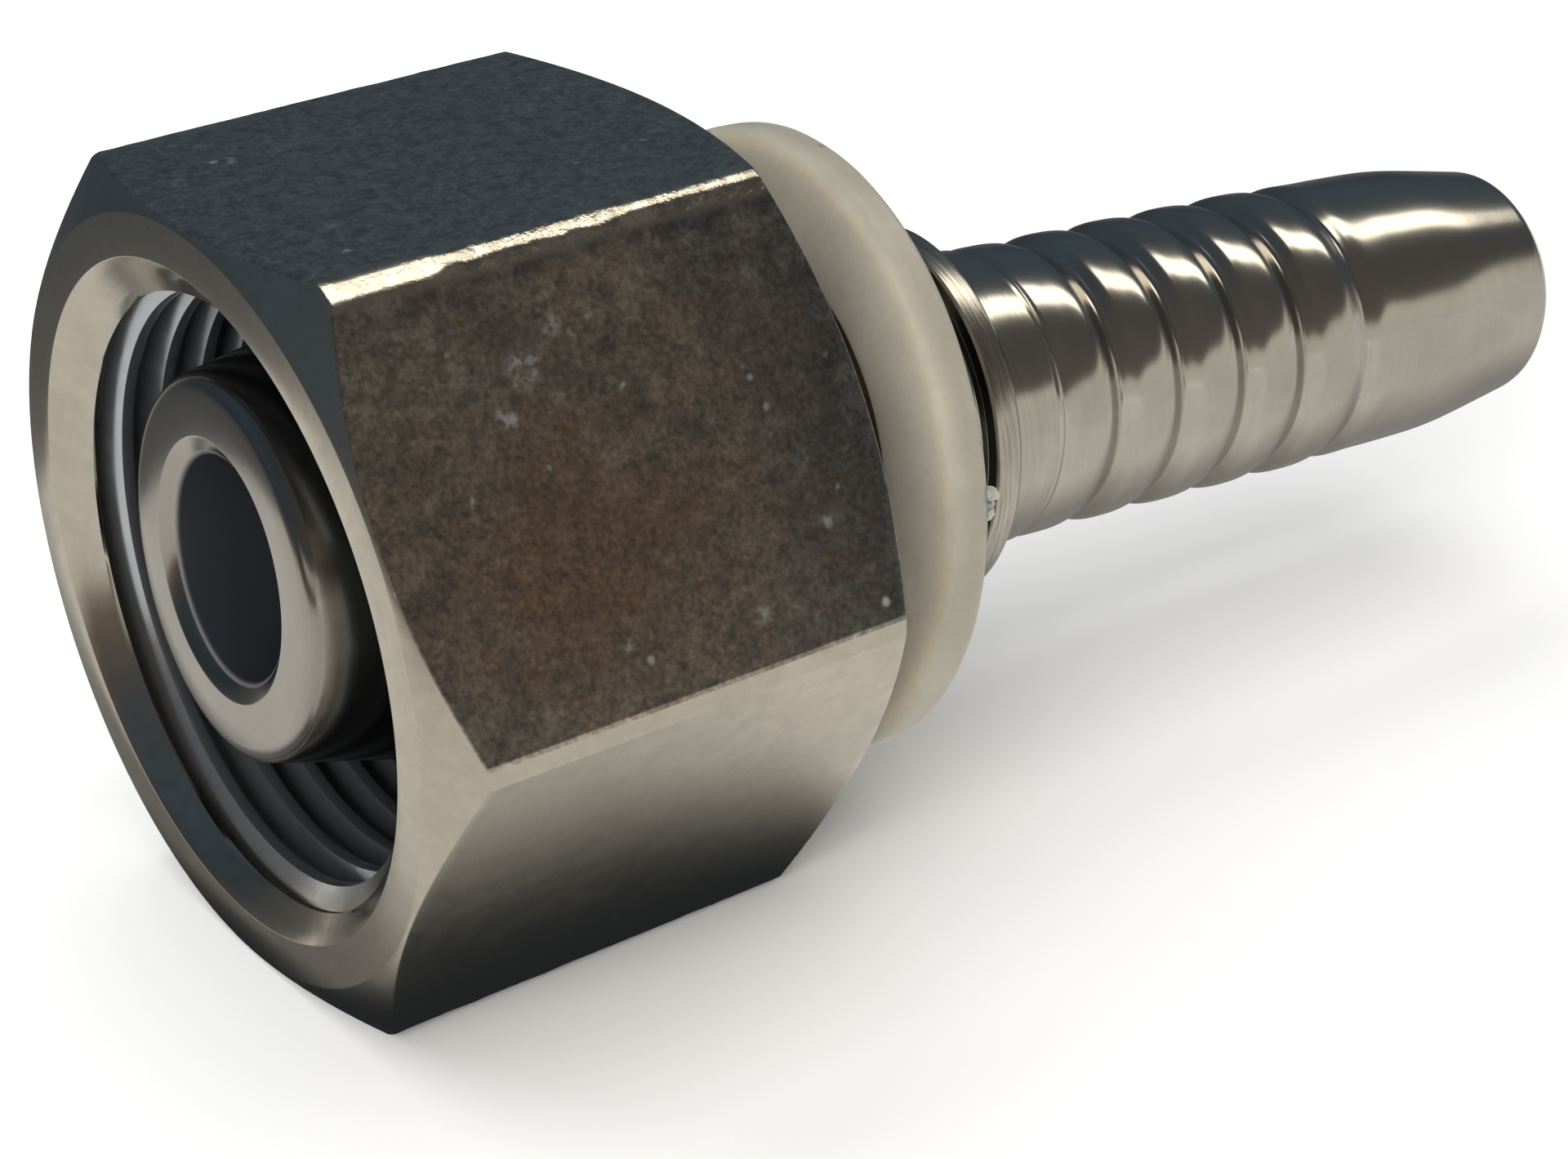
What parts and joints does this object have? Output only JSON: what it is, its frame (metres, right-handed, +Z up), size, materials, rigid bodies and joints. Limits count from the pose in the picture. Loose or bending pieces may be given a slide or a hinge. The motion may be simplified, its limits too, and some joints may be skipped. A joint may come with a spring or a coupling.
{
  "type": "press fitting",
  "caption": "Hose-end press fitting: hexagon union nut with a fine internal thread swivels on a cone-nosed nipple with a ribbed hose tail and a plastic retaining ring.",
  "frame": {"origin": "centre of the nut's mouth face, on the nut's axis", "axes": "+X along the nut's axis towards the hose tail, +Z up, out of one flat of the hexagon; the fitting lies on the opposite flat, and the loose nipple lies tipped in the nut by 4.4 degrees, tail low"},
  "size_m": [0.0582, 0.0308, 0.027],
  "materials": {
    "nut_steel": "zinc plated, bright passivated, satin, lightly stained",
    "nipple_steel": "turned, zinc plated, satin",
    "ring_nylon": "natural nylon, slightly translucent"
  },
  "bodies": {
    "nut": {"swivel_nut": "nut_steel"},
    "nipple": {"hose_nipple": "nipple_steel", "retaining_ring": "ring_nylon"}
  },
  "joints": [
    {"name": "nut_swivel", "type": "hinge", "parent": "nut", "child": "nipple", "pos_m": [0, 0.0005, 0.00097], "axis": [0.997, -0.0332, -0.0695], "continuous": true}
  ]
}
